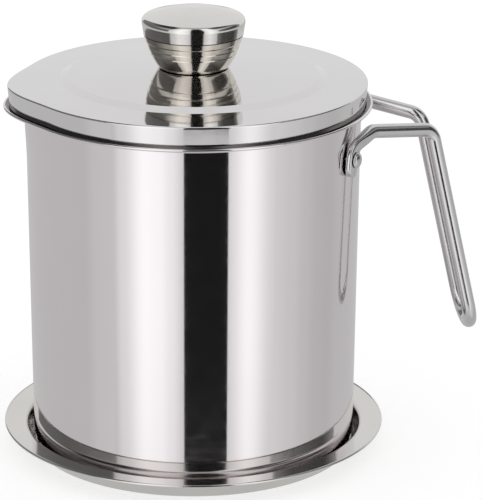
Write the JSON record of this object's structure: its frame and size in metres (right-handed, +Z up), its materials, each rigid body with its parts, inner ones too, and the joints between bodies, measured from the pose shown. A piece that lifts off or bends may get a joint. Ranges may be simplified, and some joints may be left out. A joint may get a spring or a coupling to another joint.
{
  "type": "oil strainer pot",
  "caption": "Steel pot with a pouring spout, a wire handle, a lift-out oil strainer, a knobbed lid and a saucer tray",
  "frame": {"origin": "centre of the tray's underside, on the pot's axis", "axes": "+Z up along the pot's axis, +X towards the handle, -X towards the spout"},
  "size_m": [0.1914, 0.1526, 0.1794],
  "materials": {
    "mirror_steel": "mirror polished stainless steel",
    "satin_steel": "bright stainless steel with fine turned marks",
    "wire_steel": "polished stainless wire",
    "knob_steel": "fine turned stainless steel",
    "rivet_steel": "plain stainless steel",
    "mesh_steel": "plain stainless wire cloth"
  },
  "bodies": {
    "tray": {"tray_dish": "satin_steel"},
    "pot": {"pot_body": "mirror_steel", "handle_wire": "wire_steel", "handle_rivet_near": "rivet_steel", "handle_rivet_far": "rivet_steel", "rivet_washer_near": "rivet_steel", "rivet_washer_far": "rivet_steel"},
    "strainer": {"strainer_cup": "satin_steel", "strainer_mesh": "mesh_steel", "strainer_clamp_ring": "satin_steel"},
    "lid": {"lid_shell": "mirror_steel", "knob_bowl": "knob_steel", "knob_cap": "knob_steel", "knob_boss": "rivet_steel", "lid_washer": "rivet_steel", "lid_screw": "rivet_steel"}
  },
  "joints": [
    {"name": "pot_lift", "type": "slide", "parent": "tray", "child": "pot", "axis": [0, 0, 1], "range_m": [0, 0.04]},
    {"name": "strainer_lift", "type": "slide", "parent": "pot", "child": "strainer", "axis": [0, 0, 1], "range_m": [0, 0.06]},
    {"name": "lid_lift", "type": "slide", "parent": "strainer", "child": "lid", "axis": [0, 0, 1], "range_m": [0, 0.04]}
  ]
}
